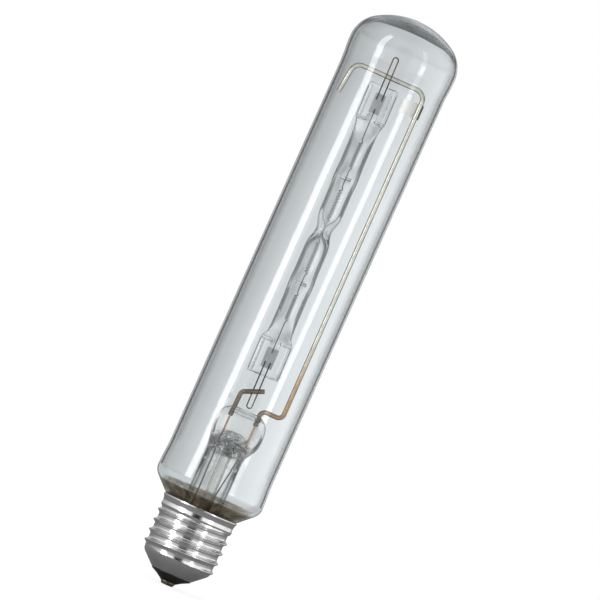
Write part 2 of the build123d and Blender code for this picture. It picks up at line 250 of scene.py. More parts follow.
# %% [markdown]
# ## The thread
# A roller presses the thread into the sheet. Here each vertex is pushed outwards where the thread passes it:
# its height follows the angle round the axis, one pitch to a turn. A high power of the cosine keeps the
# ridges narrow and the roots wide, and the push fades out at both ends.

# %% Roll the thread into the cup
THREAD_LOW, THREAD_HIGH = 8.3, 23.4
THREAD_PITCH, THREAD_DEPTH, THREAD_PHASE = 3.629, 1.05, 13.1
RIDGE_POWER, SHEET_R = 6, 11.0


def fade(value, low, high):
    share = min(1, max(0, (value - low) / (high - low)))
    return share * share * (3 - 2 * share)


for vert in bm.verts:
    x, y, z = vert.co
    if z < THREAD_LOW - 0.5 or sqrt(x * x + y * y) < SHEET_R:
        continue
    turn = (z - THREAD_PHASE) / THREAD_PITCH - atan2(y, x) / (2 * pi)
    ridge = cos(pi * turn) ** RIDGE_POWER
    ends = fade(z, THREAD_LOW, THREAD_LOW + 2.0) * (1 - fade(z, THREAD_HIGH - 0.6, THREAD_HIGH + 1.0))
    push = 1 + THREAD_DEPTH * ridge * ends / CAP_ROOT
    vert.co = (x * push, y * push, z)
cap = add_piece("screw_cap", bm, "cap_shell", sharp=50)

# %% [markdown]
# ## Insulator and contact
# Under the cap sits a cone of black glass, moulded round a small brass disc. Both are turned from a list of
# corner points (distance from the axis, height), with small rounded edges so that they catch the light.

# %% Turn the small pieces at the tip
def turned(points, radii, around):
    bm = bmesh.new()
    draw_section(bm, points, radii)
    lathe(bm, around)
    return bm


cone = [(0.5, 6.0), (0.5, 1.3), (2.85, 1.27), (4.4, 2.3), (7.0, 3.62), (7.0, 6.0), (0.5, 6.0)]
bm = turned(cone, [0.1, 0.15, 6.0, 0.25, 0.2], around=96)
insulator = add_piece("insulator_cone", bm, "cap_insulator")
disc = [(0.5, 2.6), (0.5, 0.92), (2.75, 0.92), (2.75, 1.24), (1.3, 1.24), (1.3, 2.6), (0.5, 2.6)]
bm = turned(disc, [0.05, 0.14, 0.1, 0.05, 0.1], around=72)
contact = add_piece("contact_disc", bm, "centre_contact")

# %% [markdown]
# ## The solder drop
# The disc carries a drop of solder that meets the holder. A drop sets as it likes, so it is turned first and
# then two small waves round the axis make it a little uneven. Extra rings let the waves bend its flat sides.

# %% The solder drop, a little uneven
bm = bmesh.new()
draw_section(bm, [(0, 0.0), (1.95, 0.0), (2.5, 0.9), (0, 0.9)], [0.45, 0.12])
for edge in [e for e in bm.edges if e.calc_length() > 0.5]:
    bmesh.ops.subdivide_edges(bm, edges=[edge], cuts=8)
lathe(bm, around=72)
for vert in bm.verts:
    x, y, z = vert.co
    turn = atan2(y, x)
    lump = 1 + 0.035 * sin(3 * turn + 0.7) + 0.02 * sin(5 * turn - 6 * z)
    vert.co = (x * lump, y * lump, z)
solder = add_piece("solder_drop", bm, "centre_solder", sharp=60)

# %% [markdown]
# ## Bent wires
# A wire piece starts as a circle. Feeds extrude the ring of edges and bends spin it, which keeps the section
# round through every corner. The two ends are filled and lightly bevelled, as cut wire is.

# %% The wire bender
def unique(parts):
    return list(dict.fromkeys(parts))


def last_ring(parts):
    verts = {p for p in parts if isinstance(p, bmesh.types.BMVert)}
    edges = [p for p in parts if isinstance(p, bmesh.types.BMEdge)]
    return [edge for edge in edges if all(v in verts for v in edge.verts)]


def bend_wire(bm, corners, radii, radius, around=20, soften=0.15):
    path = [Vector(p) for p in corners]
    aim = (path[1] - path[0]).to_track_quat("Z", "Y").to_matrix().to_4x4()
    place = Matrix.Translation(path[0]) @ aim
    verts = bmesh.ops.create_circle(bm, segments=around, radius=radius, matrix=place)["verts"]
    ring = unique(e for v in verts for e in v.link_edges)
    ends = [ring]
    for kind, move in feeds_and_bends(corners, radii):
        ring_verts = unique(v for e in ring for v in e.verts)
        if kind == "feed":
            made = bmesh.ops.extrude_edge_only(bm, edges=ring)["geom"]
            fresh = [p for p in made if isinstance(p, bmesh.types.BMVert)]
            bmesh.ops.translate(bm, verts=fresh, vec=move)
            ring = last_ring(made)
        else:
            centre, axis, turn = move
            steps = max(3, round(turn / BEND_STEP))
            made = bmesh.ops.spin(bm, geom=ring_verts + ring, cent=centre, axis=axis, angle=turn, steps=steps)
            ring = last_ring(made["geom_last"])
    ends.append(ring)
    for end in ends:
        bmesh.ops.edgeloop_fill(bm, edges=end)
    bmesh.ops.recalc_face_normals(bm, faces=bm.faces)
    if soften:
        rims = [e for end in ends for e in end if e.is_valid]
        offset = soften * radius
        bmesh.ops.bevel(bm, geom=rims, offset=offset, segments=2, profile=0.5, affect="EDGES", material=-1)


print("the bender turns in steps of", round(degrees(BEND_STEP)), "degrees")

# %% [markdown]
# ## Support wires
# Two thick wires stand in the glass press. The long one jogs out to the side, runs up the bulb, crosses over
# the burner and hooks down on the far side. The short one bends over to carry the lower hairpin.

# %% Bend the support wires
LONG_Y, SHORT_Y = 1.045, -1.045
LONG_X, SHORT_X, PRESS_GRIP = 5.25, -3.7, 60.06
SUPPORT_R = 0.8
long_way = [(LONG_X, PRESS_GRIP), (LONG_X, 65.7), (12.6, 65.7), (11.9, 184.1), (-13.7, 184.1), (-15.0, 173.0)]
short_way = [(SHORT_X, PRESS_GRIP), (-3.5, 68.9), (3.6, 71.9)]
bm = bmesh.new()
bend_wire(bm, [(x, LONG_Y, z) for x, z in long_way], [1.9, 1.9, 3.3, 3.3], SUPPORT_R)
long_wire = add_piece("long_support", bm, "long_support_wire")
bm = bmesh.new()
bend_wire(bm, [(x, SHORT_Y, z) for x, z in short_way], [1.6], SUPPORT_R)
short_wire = add_piece("short_support", bm, "short_support_wire")

# %% [markdown]
# ## Seal wires and feed wires
# Inside the press the thick wires end on short copper-clad seal wires, the only metal that glass of this kind
# seals to. Thinner feed wires run on from them, one to the tip and one to the side of the cap.

# %% Bend the thin wires below the press
SEAL_R, FEED_R, FEED_BEND = 0.315, 0.29, 3.0
left_feed = [(SHORT_X, SHORT_Y, 53.94), (-3.3, SHORT_Y, 34.0), (-3.3, SHORT_Y, 22.0)]
left_feed += [(0, 0, 9.0), (0, 0, 0.95)]
right_feed = [(LONG_X, LONG_Y, 49.94), (2.8, LONG_Y, 34.0), (2.8, LONG_Y, 22.0), (11.05, LONG_Y, 12.5)]
thin_wires = {
    "left_seal_wire": ([(SHORT_X, SHORT_Y, 60.0), (SHORT_X, SHORT_Y, 54.0)], SEAL_R),
    "right_seal_wire": ([(LONG_X, LONG_Y, 60.0), (LONG_X, LONG_Y, 50.0)], SEAL_R),
    "left_feed_wire": (left_feed, FEED_R),
    "right_feed_wire": (right_feed, FEED_R),
}
thin_pieces = {}
for node, (corners, radius) in thin_wires.items():
    bm = bmesh.new()
    bend_wire(bm, corners, [FEED_BEND] * (len(corners) - 2), radius, around=14)
    thin_pieces[node] = add_piece(node.replace("wire", "lead"), bm, node)

# %% [markdown]
# ## Squeezed glass
# The burner and the stem are tubes that were squeezed while hot. Both are turned with many rings, and then
# each ring is reshaped by a table of half width, half thickness and squareness, read along a smooth curve.

# %% Read a table smoothly, and reshape a ring
def smooth_row(z, rows):
    z = min(max(z, rows[0][0]), rows[-1][0])
    k = max(i for i, row in enumerate(rows[:-1]) if row[0] <= z)
    before, low, high, after = rows[max(k - 1, 0)], rows[k], rows[k + 1], rows[min(k + 2, len(rows) - 1)]
    span = high[0] - low[0]
    share = (z - low[0]) / span
    values = []
    for a, b, c, d in zip(before[1:], low[1:], high[1:], after[1:]):
        rise_in = (c - a) / (high[0] - before[0]) * span
        rise_out = (d - b) / (after[0] - low[0]) * span
        bend = (c - b) * (3 - 2 * share) * share ** 2
        values.append(b + bend + rise_in * share * (1 - share) ** 2 - rise_out * share ** 2 * (1 - share))
    return values


def squared(value, squareness):
    return (abs(value) ** (2 / squareness)) * (1 if value >= 0 else -1)


print("a third of the way up a 0 to 1 table:", round(smooth_row(1.0, [(0, 0.0), (3, 1.0)])[0], 3))

# %% [markdown]
# ## The quartz burner
# The burner is a thick quartz tube with its ends pinched flat round the foils. Each row gives a distance from
# the middle, half width, half thickness and squareness. The bore fans out like a fish's tail at the pinch.

# %% Tables for the burner's skin and bore
BURNER_HALF, BLADE_Z, ROUND_Z = 51.95, 39.55, 33.55
SKIN_R, BORE_R, PINCH_WALL = 4.05, 3.05, 0.9


def burner_skin(width):
    half = width / 2
    return [
        (-1.0, SKIN_R, SKIN_R, 2.0),
        (30.0, SKIN_R, SKIN_R, 2.0),
        (33.0, SKIN_R, 3.8, 2.0),
        (35.5, 4.12, 3.0, 2.1),
        (37.6, 4.35, 2.15, 2.4),
        (39.0, half - 0.35, 1.5, 3.2),
        (39.9, half, 1.3, 4.5),
        (41.5, half, 1.25, 5.0),
        (51.2, half, 1.25, 5.0),
        (51.7, half - 0.06, 1.2, 4.8),
        (52.0, half - 0.2, 1.0, 4.4),
    ]


def burner_bore(width):
    half = width / 2 - PINCH_WALL
    return [
        (-1.0, BORE_R, BORE_R, 2.0),
        (29.0, BORE_R, BORE_R, 2.0),
        (32.0, BORE_R, 2.7, 2.0),
        (35.0, 3.2, 1.6, 2.0),
        (37.2, 3.6, 0.8, 2.0),
        (38.4, half, 0.4, 2.4),
        (39.0, half - 0.15, 0.34, 2.6),
        (39.35, 2.3, 0.3, 2.6),
        (39.7, 1.85, 0.28, 2.6),
        (41.5, 1.8, 0.22, 2.4),
        (42.2, 1.3, 0.08, 2.0),
    ]


print("burner length:", 2 * BURNER_HALF, "mm")

# %% [markdown]
# ## Squeezing the burner
# The middle is squeezed into a waist, and two dimples are pressed in from front and back to hold the coil.
# Each pinch has ribs, a bar at its root and a ragged cut end. Every vertex is moved once, by where it is.

# %% Squeeze the burner's skin and bore
DIMPLE_Z, DIMPLE_LEN, WAIST_LEN = 19.0, 4.4, 5.0
UPPER_PINCH, LOWER_PINCH = 10.3, 11.1
WAIST_SKIN, WAIST_BORE, DIMPLE_SKIN, DIMPLE_BORE = 2.75, 0.55, 2.75, 1.75
RIB, BAR, MARK = 0.28, 0.42, 0.985


def bump(z, middle, reach):
    return exp(-(((z - middle) / reach) ** 2) * 2.2)


def squeeze_burner(bm, bore):
    for vert in bm.verts:
        x, y, z = vert.co
        turn = atan2(y, x)
        size = sqrt(x * x + y * y) / (BORE_R if bore else SKIN_R)
        width = UPPER_PINCH if z > 0 else LOWER_PINCH
        table = burner_bore(width) if bore else burner_skin(width)
        half, thick, square = smooth_row(abs(z), table)
        waist = bump(z, 0, WAIST_LEN)
        dimple = bump(abs(z), DIMPLE_Z, DIMPLE_LEN)
        if bore:
            half += (WAIST_BORE - half) * waist + 0.1 * dimple
            thick += (DIMPLE_BORE - thick) * dimple
        else:
            half += (WAIST_SKIN - half) * waist + 0.12 * dimple
            thick += (DIMPLE_SKIN - thick) * dimple + 0.12 * waist
        new_x = half * squared(cos(turn), square) * size
        new_y = thick * squared(sin(turn), square) * size
        if bore:
            mark = (1 - fade(abs(abs(z) - DIMPLE_Z), 0.24, 0.5)) * (1 - fade(abs(new_x), 1.45, 1.75))
            new_y *= 1 - MARK * mark
        else:
            blade = fade(abs(z), BLADE_Z - 0.2, BLADE_Z + 0.6)
            rib = fade(abs(new_x) / half, 0.70, 0.80) * blade * (1 - fade(abs(z), 50.5, 51.6))
            bar = bump(abs(z), BLADE_Z + 0.35, 0.42) * fade(abs(new_x), 1.7, 2.1)
            new_y *= 1 + RIB * rib + BAR * bar
            ragged = fade(abs(z), 50.8, 51.9) * (0.16 * sin(2.3 * new_x + z) + 0.1 * sin(6.1 * new_x))
            z -= ragged * (1 if z > 0 else -1)
        vert.co = (new_x, new_y, z)


print("waist is", 2 * WAIST_SKIN, "mm wide")

# %% [markdown]
# ## Rings where they are needed
# A squeeze only shows if there are rings to bend, so they lie close at the pinches, the waist and the dimples
# and far apart along the plain tube. The line is spun into a tube and then squeezed.

# %% Turn the tubes that get squeezed
FINE_STEP, NEAR_STEP, PLAIN_STEP, DIMPLE_SAVING = 0.2, 0.35, 1.0, 0.23
NEAR_LEN, MARK_LEN, ENDS_Z = 7, 0.9, 50


def burner_heights(top):
    z, heights = 0.0, [0.0]
    while z < top:
        near = min(abs(z - DIMPLE_Z), abs(z)) < NEAR_LEN
        fine = ROUND_Z + 3 < z < BLADE_Z + 2 or z > ENDS_Z
        z += FINE_STEP if fine else (NEAR_STEP if near else PLAIN_STEP)
        z -= DIMPLE_SAVING if abs(z - DIMPLE_Z) < MARK_LEN else 0
        heights.append(min(z, top))
    return sorted(set([-h for h in heights] + heights))


def burner_tube(radius, top, bore):
    tube = bmesh.new()
    heights = burner_heights(top)
    last = tube.verts.new((0, 0, heights[0]))
    steps = [(radius * 0.5, 0, 0)] * 2
    steps += [(0, 0, high - low) for low, high in zip(heights, heights[1:])]
    steps += [(-radius * 0.5, 0, 0)] * 2
    for step in steps:
        last = draw_line(tube, last, step)
    lathe(tube, around=96)
    squeeze_burner(tube, bore)
    bmesh.ops.recalc_face_normals(tube, faces=tube.faces)
    if bore:
        bmesh.ops.reverse_faces(tube, faces=tube.faces)
    return tube


print("rings along the skin:", len(burner_heights(BURNER_HALF)))

# %% [markdown]
# ## The burner in its place
# The bore is turned inside out and joined to the skin, so the glass lies between them. Small trapped bubbles
# sit in each pinch, inside out as well. The burner hangs a little askew, so one matrix puts it and the wires
# that belong to it in place.

# %% Join skin and bore, and put the burner in its place
BURNER_PLACE = Matrix.Translation((-0.45, 0, 128.55)) @ Matrix.Rotation(radians(-1.2), 4, "Y")
BORE_HALF = 42.2


def join(bm, other):
    scrap = bpy.data.meshes.new("scrap")
    other.to_mesh(scrap)
    other.free()
    bm.from_mesh(scrap)
    bpy.data.meshes.remove(scrap)


def add_bubbles(bm, side, first_z, last_z, count):
    for k in range(count):
        z = first_z + (last_z - first_z) * k / (count - 1)
        size = 0.17 + 0.07 * sin(2.7 * k)
        place = Matrix.Translation((side + 0.16 * sin(4.1 * k), 0.3 * sin(1.9 * k), z))
        stretch = Matrix.Diagonal((1.0, 0.8, 1.7 + 0.5 * sin(3.3 * k), 1.0))
        verts = bmesh.ops.create_icosphere(bm, subdivisions=2, radius=size, matrix=place @ stretch)["verts"]
        bmesh.ops.reverse_faces(bm, faces=unique(f for v in verts for f in v.link_faces))


bm = burner_tube(SKIN_R, BURNER_HALF, bore=False)
join(bm, burner_tube(BORE_R, BORE_HALF, bore=True))
add_bubbles(bm, -4.25, -41.2, -50.6, count=15)
add_bubbles(bm, 3.6, 42.4, 49.6, count=8)
bmesh.ops.transform(bm, matrix=BURNER_PLACE, verts=bm.verts)
burner = add_piece("burner_glass", bm, "burner_tube", sharp=70)

# %% [markdown]
# ## Hairpins
# At each end of the burner a hairpin of thin dark wire leaves the foil and loops round a support wire. Its
# turn is two quarter bends with hardly any straight length between them.

# %% Bend the hairpins
LEAD_R, LEAD_SIDE = 0.225, 0.9


def add_hairpin(name, node, start, end):
    corner = end + (0.001 if end > start else -0.001)
    side = LEAD_SIDE
    corners = [(-side, 0, start), (-side, 0, corner), (side, 0, corner), (side, 0, start)]
    bm = bmesh.new()
    bend_wire(bm, corners, [side - 1e-4] * 2, LEAD_R, around=14)
    bmesh.ops.transform(bm, matrix=BURNER_PLACE, verts=bm.verts)
    return add_piece(name, bm, node)


upper_loop = add_hairpin("upper_hairpin", "upper_lead_loop", 47.15, 62.45)
lower_loop = add_hairpin("lower_hairpin", "lower_lead_loop", -47.15, -63.85)

# %% [markdown]
# ## The filament
# The filament is one tungsten wire with four coils, straight links and a straight leg to each foil. A coil is
# a small circle spun round the coil's axis with a little drop at every step.

# %% Wind the filament
COIL_R, COIL_WIRE, COIL_TURNS, TURN_STEPS = 0.54, 0.15, 10, 14
FILAMENT_Y, LEG_END, LINK_LEAD, LINK_BEND = 0.013, 44.1, 0.9, 0.6
coils = [(32.05, 23.0), (15.0, 4.0), (-4.0, -15.0), (-23.0, -32.05)]


def wind_coil(bm, top, bottom):
    stand = Matrix.Translation((COIL_R, FILAMENT_Y, top)) @ Matrix.Rotation(pi / 2, 4, "X")
    verts = bmesh.ops.create_circle(bm, segments=7, radius=COIL_WIRE, matrix=stand)["verts"]
    ring = unique(e for v in verts for e in v.link_edges)
    steps = COIL_TURNS * TURN_STEPS
    made = bmesh.ops.spin(
        bm,
        geom=verts + ring,
        cent=(0, FILAMENT_Y, top),
        axis=(0, 0, 1),
        dvec=(0, 0, (bottom - top) / steps),
        angle=2 * pi * COIL_TURNS,
        steps=steps,
    )
    bmesh.ops.edgeloop_fill(bm, edges=ring)
    bmesh.ops.edgeloop_fill(bm, edges=last_ring(made["geom_last"]))


bm = bmesh.new()
for top, bottom in coils:
    wind_coil(bm, top, bottom)
links = [LEG_END] + [z for span in coils for z in span] + [-LEG_END]
for high, low in zip(links[::2], links[1::2]):
    start = (0 if high == LEG_END else COIL_R, FILAMENT_Y, high)
    end = (0 if low == -LEG_END else COIL_R, FILAMENT_Y, low)
    near, far = (0, FILAMENT_Y, high - LINK_LEAD), (0, FILAMENT_Y, low + LINK_LEAD)
    bend_wire(bm, [start, near, far, end], [LINK_BEND] * 2, COIL_WIRE, around=8, soften=0)
bmesh.ops.recalc_face_normals(bm, faces=bm.faces)
bmesh.ops.transform(bm, matrix=BURNER_PLACE, verts=bm.verts)
filament = add_piece("filament_coils", bm, "filament")

# %% [markdown]
# ## The stem
# The stem is a glass tube with a flared foot. Its top was squeezed flat round the wires, so it is wide from
# the front and thin from the side. The last number of a row shifts it, as the press is a little off centre.

# %% Tables for the stem
STEM_R, STEM_BORE_R, STEM_TOP, HOLLOW_TOP = 6.5, 5.4, 63.7, 55.6
stem_skin = [
    (40.0, STEM_R, STEM_R, 2.0, 0.0),
    (46.0, STEM_R, STEM_R, 2.0, 0.0),
    (48.6, 6.75, 5.9, 2.0, 0.1),
    (50.6, 7.5, 4.5, 2.1, 0.4),
    (52.4, 8.25, 3.3, 2.6, 0.7),
    (54.8, 8.65, 2.8, 3.4, 0.85),
    (57.5, 8.7, 2.7, 3.8, 0.85),
    (60.0, 8.35, 2.7, 3.8, 0.85),
    (61.8, 7.4, 2.6, 3.6, 0.85),
    (63.0, 6.0, 2.2, 3.2, 0.85),
    (STEM_TOP, 4.3, 1.3, 2.8, 0.85),
]
stem_bore = [
    (40.0, STEM_BORE_R, STEM_BORE_R, 2.0, 0.0),
    (46.5, STEM_BORE_R, STEM_BORE_R, 2.0, 0.0),
    (48.8, 5.3, 4.3, 2.0, 0.1),
    (51.0, 5.0, 2.6, 2.0, 0.3),
    (53.2, 4.2, 1.5, 2.0, 0.5),
    (55.0, 2.8, 0.9, 2.0, 0.6),
    (HOLLOW_TOP, 1.2, 0.5, 2.0, 0.6),
]
print("press width:", 2 * max(row[1] for row in stem_skin), "mm")

# %% [markdown]
# ## Folds in the press
# The glass under the squeeze is full of small folds that bend the light and look dark. They are three waves
# on the bore. The outside only gets a wrinkled lip. Both are joined, and bridged at the foot.

# %% Turn and squeeze the stem
PLAIN_Z, FOLD, RING_SPACING = 44.0, 0.30, 0.3


def squeeze_stem(bm, radius, table, folds):
    for vert in bm.verts:
        x, y, z = vert.co
        if z < PLAIN_Z:
            continue
        turn = atan2(y, x)
        half, thick, square, shift = smooth_row(z, table)
        size = sqrt(x * x + y * y) / radius
        crease = fade(z, 47.5, 51.0) * folds
        ripple = sin(7 * turn + 2.3 * z) + 0.7 * sin(11 * turn - 3.1 * z + 1.0)
        ripple += 0.5 * sin(4 * turn + 5.3 * z)
        size *= 1 + FOLD * crease * ripple
        lip = fade(z, 60.6, 62.0) * (1 - folds)
        wrinkle = 1 + lip * (0.10 * sin(7.0 * z + 2.0 * sin(3 * turn)) + 0.05 * sin(9 * turn + 3.0 * z))
        new_x = half * squared(cos(turn), square) * size + shift
        vert.co = (new_x, thick * squared(sin(turn), square) * size * wrinkle, z)


def stem_half(points, radius, table, folds):
    half = bmesh.new()
    draw_section(half, points, [1.0, 4.0, 0])
    for edge in [e for e in half.edges if e.calc_length() > LONG_EDGE]:
        bmesh.ops.subdivide_edges(half, edges=[edge], cuts=round(edge.calc_length() / RING_SPACING))
    lathe(half, around=96)
    squeeze_stem(half, radius, table, folds)
    return half


outer = [(10.35, 17.0), (10.35, 18.4), (STEM_R, 25.0), (STEM_R, STEM_TOP), (0, STEM_TOP)]
inner = [(9.3, 17.0), (9.3, 18.6), (STEM_BORE_R, 25.2), (STEM_BORE_R, HOLLOW_TOP), (0, HOLLOW_TOP)]
bm = stem_half(outer, STEM_R, stem_skin, folds=0.0)
join(bm, stem_half(inner, STEM_BORE_R, stem_bore, folds=1.0))
bmesh.ops.bridge_loops(bm, edges=[e for e in bm.edges if e.is_boundary])
bmesh.ops.recalc_face_normals(bm, faces=bm.faces)
stem = add_piece("stem_glass", bm, "stem", sharp=60)

# %% [markdown]
# ## The exhaust tube
# The air was drawn out through a thin glass tube, which was then melted shut. Its closed point hides in the
# cap, and its open end is fused into the folds under the press.

# %% Turn the exhaust tube
EXHAUST_X = 0.7
tube = [(0, 13.1), (0.7, 13.1), (1.75, 17.0), (1.75, 51.6), (1.15, 51.6), (1.15, 17.4), (0, 15.6)]
bm = turned(tube, [0.5, 3.0, 0.2, 0.2, 0.8], around=48)
bmesh.ops.translate(bm, verts=bm.verts, vec=(EXHAUST_X, 0, 0))
exhaust = add_piece("exhaust_glass", bm, "exhaust_tube", sharp=60)

# %% [markdown]
# ## Placing nodes
# A finish is a tree of nodes. One helper places a node: a plain value is set on its socket, and a socket of
# another node is linked to it. Another helper starts a node group with an input for each named value.

# %% Helpers that place nodes
def feed(tree, node, feeds):
    for label, value in feeds.items():
        if isinstance(value, bpy.types.NodeSocket):
            tree.links.new(value, node.inputs[label])
        else:
            node.inputs[label].default_value = value


def add_node(tree, kind, feeds=None, **settings):
    node = tree.nodes.new("ShaderNode" + kind)
    for name, value in settings.items():
        setattr(node, name, value)
    feed(tree, node, feeds or {})
    return node


def from_node(tree, kind, feeds=None, out=0, **settings):
    return add_node(tree, kind, feeds, **settings).outputs[out]


def new_group(name, inputs, output, kind="NodeSocketFloat"):
    group = bpy.data.node_groups.new(name, "ShaderNodeTree")
    for label, value in inputs.items():
        socket_type = "NodeSocketVector" if isinstance(value, tuple) else "NodeSocketFloat"
        socket = group.interface.new_socket(label, in_out="INPUT", socket_type=socket_type)
        socket.default_value = value
    group.interface.new_socket(output, in_out="OUTPUT", socket_type=kind)
    return group, group.nodes.new("NodeGroupInput").outputs, group.nodes.new("NodeGroupOutput")


def object_place(tree):
    return from_node(tree, "TexCoord", out="Object")


def smooth_share(tree, value, low, high):
    feeds = {"Value": value, "From Min": low, "From Max": high}
    return from_node(tree, "MapRange", feeds, interpolation_type="SMOOTHSTEP")


print("node helpers ready, groups so far:", len(bpy.data.node_groups))

# %% [markdown]
# ## Shared node groups
# Several finishes need a soft mottle, the fine lines of drawn metal, or a change of colour at some height
# with an uneven edge. Each is one node group on Object coordinates, so it stays put on the piece.

# %% Mottle, drawn lines and height band
mottle, given, end = new_group("Mottle", {"Scale": 200.0, "Detail": 4.0, "Low": 0.4, "High": 0.6}, "Mask")
feeds = {"Vector": object_place(mottle), "Scale": given["Scale"], "Detail": given["Detail"]}
noise = from_node(mottle, "TexNoise", feeds)
feeds = {"Value": noise, "From Min": given["Low"], "From Max": given["High"]}
feed(mottle, end, {"Mask": from_node(mottle, "MapRange", feeds)})

drawn, given, end = new_group("Drawn lines", {"Across": (1500.0, 1500.0, 40.0)}, "Lines")
feeds = {0: object_place(drawn), 1: given["Across"]}
stretch = from_node(drawn, "VectorMath", feeds, operation="MULTIPLY")
feeds = {"Vector": stretch, "Scale": 1.0, "Detail": 3.0}
feed(drawn, end, {"Lines": from_node(drawn, "TexNoise", feeds)})

height, given, end = new_group("Height band", {"Low": 0.03, "High": 0.04, "Wander": 0.002}, "Share")
where = object_place(height)
noise = from_node(height, "TexNoise", {"Vector": where, "Scale": 150.0})
above_floor = from_node(height, "SeparateXYZ", {"Vector": where}, out="Z")
shaken = from_node(height, "Math", {0: noise, 1: given["Wander"], 2: above_floor}, operation="MULTIPLY_ADD")
feed(height, end, {"Share": smooth_share(height, shaken, given["Low"], given["High"])})
print("shared groups:", [g.name for g in bpy.data.node_groups])

# %% [markdown]
# ## Starting a material
# Materials are built from the same steps: place a group, mix two colours by a mask, spread a mask over a
# range of roughness, add a bump. The edge share is 0 where a surface faces the viewer and 1 at a slant.

# %% Helpers that build a material
def new_material(name):
    material = bpy.data.materials.new(name)
    material.use_nodes = True
    tree = material.node_tree
    return material, tree, tree.nodes["Principled BSDF"], tree.nodes["Material Output"]


def place_group(tree, group, **values):
    return from_node(tree, "Group", values, node_tree=group)


def blend_colours(tree, share, low, high):
    low, high = [(*colour, 1.0) if isinstance(colour, tuple) else colour for colour in (low, high)]
    return from_node(tree, "Mix", {"Factor": share, "A": low, "B": high}, out="Result", data_type="RGBA")


def spread_value(tree, share, low, high):
    return from_node(tree, "MapRange", {"Value": share, "To Min": low, "To Max": high})


def add_bump(tree, shader, source, strength, distance):
    normal = from_node(tree, "Bump", {"Strength": strength, "Distance": distance, "Height": source})
    feed(tree, shader, {"Normal": normal})


def edge_share(tree, low, high):
    return smooth_share(tree, from_node(tree, "LayerWeight", {"Blend": 0.5}, out="Facing"), low, high)


def dress(piece, material):
    piece.data.materials.clear()
    piece.data.materials.append(material)


print("materials so far:", len(bpy.data.materials))

# %% [markdown]
# ## Glass
# Clear glass is one shader with full transmission. Blown glass is never quite even, so a faint bump bends the
# reflections. It is darker at a slant: partly the absorption along the longer path, partly painted shade that
# stands in for the dark outlines which dark surroundings draw on clear glass. Lamps can't shine through a
# glass shader, so shadow rays get a see-through one and the wires inside are lit.

# %% The glass finish
WAVE_DEPTH, CLEAR = 0.0004, (0.95, 0.95, 0.95, 1.0)


def glass(name, tint, faint, ior, wave_scale, wave, edge, outline_shade_span):
    material, tree, shader, out = new_material(name)
    cloud = place_group(tree, mottle, Scale=wave_scale, Detail=1.0, Low=0.35, High=0.65)
    colour = blend_colours(tree, cloud, tint, faint)
    # painted shade: at a slant the colour goes over to the dark edge colour, which draws dark outlines
    colour = blend_colours(tree, edge_share(tree, *outline_shade_span), colour, edge)
    feed(tree, shader, {"Transmission Weight": 1.0, "IOR": ior, "Roughness": 0.0, "Base Color": colour})
    add_bump(tree, shader, cloud, wave, WAVE_DEPTH)
    clear = from_node(tree, "BsdfTransparent", {"Color": CLEAR})
    path = add_node(tree, "LightPath").outputs
    feeds = {0: path["Is Shadow Ray"], 1: path["Is Diffuse Ray"]}
    either = from_node(tree, "Math", feeds, operation="MAXIMUM")
    feeds = {"Fac": either, 1: shader.outputs["BSDF"], 2: clear}
    feed(tree, out, {"Surface": from_node(tree, "MixShader", feeds)})
    return material, tree, shader, colour


quartz = glass(
    "Quartz",
    tint=(0.98, 0.98, 0.98),
    faint=(0.985, 0.985, 0.985),
    ior=1.46,
    wave_scale=180.0,
    wave=0.03,
    # painted shade: dark grey outlines painted at the burner's slanted sides
    edge=(0.24, 0.24, 0.24),
    outline_shade_span=(0.40, 0.58),
)[0]
dress(burner, quartz)
print("glass finish:", quartz.name)

# %% [markdown]
# ## Bulb glass and stem glass
# The bulb is faintly cool. Its neck glass below a band with an uneven edge is painted a patchy dark brown, a
# painted shade that stands in for the shadowed cement and cap seen through it. The stem gets patchy painted
# shade in the folds under the press, between two height bands, where the folds look dark because they bend
# the light.

# %% Glass for the bulb and the stem
bulb_glass, tree, shader, colour = glass(
    "Clear bulb glass",
    tint=(0.89, 0.90, 0.905),
    faint=(0.91, 0.918, 0.92),
    ior=1.5,
    wave_scale=40.0,
    wave=0.06,
    # painted shade in part: the bulb goes grey at a slant, partly absorption and partly painted outlines
    edge=(0.60, 0.62, 0.63),
    outline_shade_span=(0.42, 1.0),
)
# painted shade: below this band the neck glass is painted mottled dark brown for the shadowed cement and cap
# inside
above_neck_shade = place_group(tree, height, Low=0.0318, High=0.0328, Wander=0.0007)
speckle = place_group(tree, mottle, Scale=300.0, Detail=5.0, Low=0.42, High=0.68)
neck_shade_brown = blend_colours(tree, speckle, (0.17, 0.145, 0.11), (0.52, 0.455, 0.37))
feed(tree, shader, {"Base Color": blend_colours(tree, above_neck_shade, neck_shade_brown, colour)})
dress(bulb, bulb_glass)

stem_glass, tree, shader, colour = glass(
    "Stem glass",
    tint=(0.96, 0.955, 0.945),
    faint=(0.975, 0.97, 0.96),
    ior=1.55,
    wave_scale=120.0,
    wave=0.004,
    # painted shade: near-black outlines painted at the stem's slanted sides
    edge=(0.05, 0.048, 0.045),
    outline_shade_span=(0.28, 0.62),
)
# painted shade: patchy grey darkening painted in the folds between these two height bands
from_folds = place_group(tree, height, Low=0.0472, High=0.0488, Wander=0.0015)
above_folds = place_group(tree, height, Low=0.0525, High=0.0545, Wander=0.0020)
in_folds = from_node(tree, "Math", {0: from_folds, 1: above_folds}, operation="SUBTRACT", use_clamp=True)
folds = place_group(tree, mottle, Scale=520.0, Detail=3.0, Low=0.44, High=0.56)
painted_fold_shade = blend_colours(tree, folds, colour, (0.42, 0.41, 0.40))
feed(tree, shader, {"Base Color": blend_colours(tree, in_folds, colour, painted_fold_shade)})
dress(stem, stem_glass)
dress(exhaust, stem_glass)
print("glass finishes:", bulb_glass.name, stem_glass.name)

